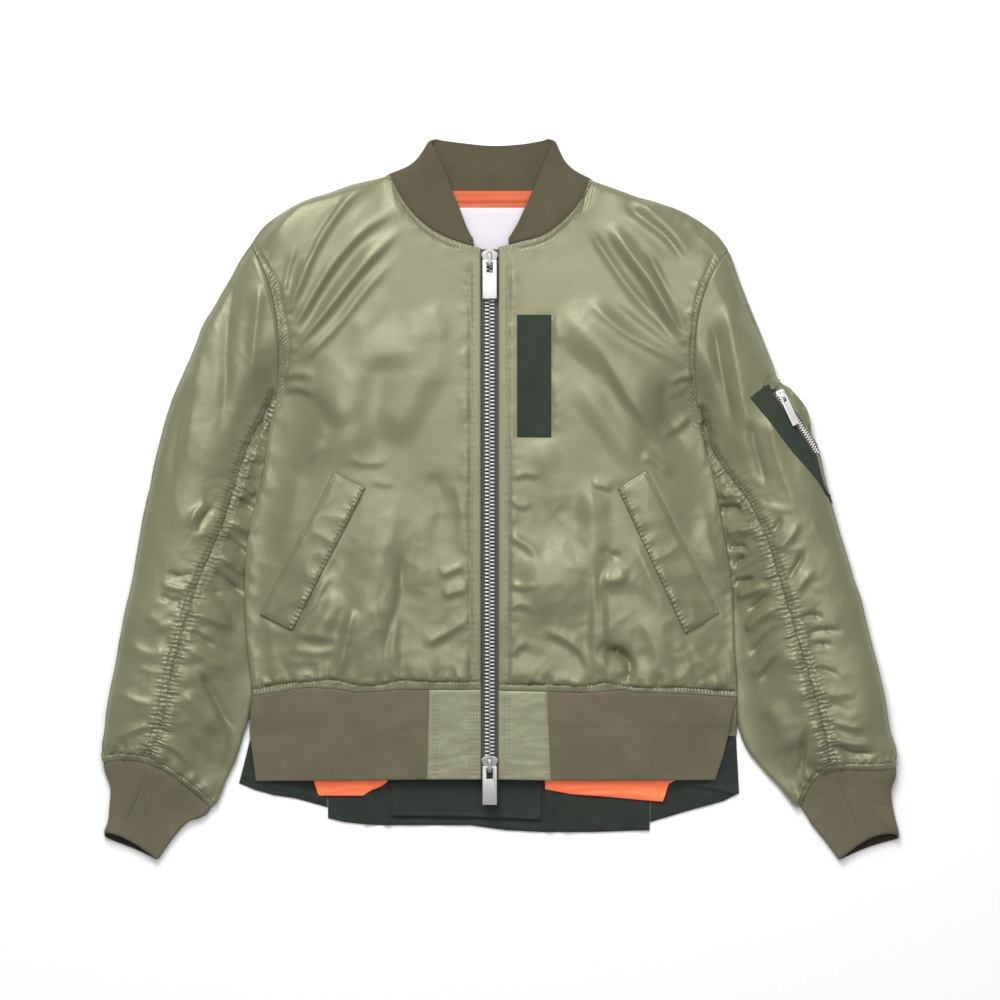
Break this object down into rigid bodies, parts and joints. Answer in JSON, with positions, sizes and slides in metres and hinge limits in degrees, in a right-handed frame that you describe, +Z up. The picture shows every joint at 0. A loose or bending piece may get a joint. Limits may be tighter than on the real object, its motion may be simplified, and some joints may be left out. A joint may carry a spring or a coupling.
{
  "type": "bomber jacket laid flat",
  "caption": "Padded satin bomber jacket laid flat and zipped, with ribbed collar, cuffs and hem, slanted pockets and a sleeve pocket.",
  "frame": {"origin": "on the surface that the jacket lies on, under the middle of the back", "axes": "+X towards the wearer's left sleeve, +Y from the hem to the collar, +Z up from the surface, out of the front"},
  "size_m": [0.7972, 0.7212, 0.0399],
  "materials": {
    "shell_nylon": "satin nylon, softly lustrous, sage green",
    "rib_knit": "matte ribbed knit, olive brown",
    "green_grosgrain": "ribbed grosgrain ribbon, dark green",
    "green_hem": "plain woven twill, dark green",
    "orange_lining": "smooth lining satin, bright orange",
    "white_label": "woven satin label, white, blank",
    "zip_tape": "herringbone zip tape, dark brown grey",
    "zip_metal": "bright nickel plate"
  },
  "bodies": {
    "jacket": {"front_right": "shell_nylon", "front_left": "shell_nylon", "back": "shell_nylon", "sleeve_right_upper": "shell_nylon", "sleeve_right_under": "shell_nylon", "sleeve_left_upper": "shell_nylon", "sleeve_left_under": "shell_nylon", "hem_block_right": "shell_nylon", "hem_block_left": "shell_nylon", "pocket_welt_right": "shell_nylon", "pocket_welt_left": "shell_nylon", "sleeve_pocket_tab": "shell_nylon", "collar": "rib_knit", "hem_rib_right": "rib_knit", "hem_rib_left": "rib_knit", "cuff_right": "rib_knit", "cuff_left": "rib_knit", "chest_ribbon": "green_grosgrain", "sleeve_pocket_band": "green_grosgrain", "back_hem_side_right": "green_hem", "back_hem_side_left": "green_hem", "back_hem_pleat": "green_hem", "back_hem_box_pleat": "green_hem", "lining_neck": "orange_lining", "lining_hem_right": "orange_lining", "lining_hem_left": "orange_lining", "neck_label": "white_label", "zip_tape_right": "zip_tape", "zip_tape_left": "zip_tape", "sleeve_pocket_tape": "zip_tape", "zip_chain": "zip_metal", "zip_slider_top": "zip_metal", "zip_slider_bottom": "zip_metal", "sleeve_pocket_chain": "zip_metal", "sleeve_pocket_slider": "zip_metal"},
    "zip_pull_top": {"zip_pull_top": "zip_metal"},
    "zip_pull_bottom": {"zip_pull_bottom": "zip_metal"},
    "sleeve_pocket_pull": {"sleeve_pocket_pull": "zip_metal"}
  },
  "joints": [
    {"name": "zip_pull_top_swing", "type": "hinge", "parent": "jacket", "child": "zip_pull_top", "pos_m": [-0.0103, 0.23806, 0.03263], "axis": [-1, 0, 0], "range_deg": [0, 150]},
    {"name": "zip_pull_bottom_swing", "type": "hinge", "parent": "jacket", "child": "zip_pull_bottom", "pos_m": [-0.0103, -0.26645, 0.02271], "axis": [-1, 0, 0], "range_deg": [0, 150]},
    {"name": "sleeve_pocket_pull_swing", "type": "hinge", "parent": "jacket", "child": "sleeve_pocket_pull", "pos_m": [0.28141, 0.10423, 0.0361], "axis": [-0.8331, -0.3605, 0.4194], "range_deg": [0, 150]}
  ]
}
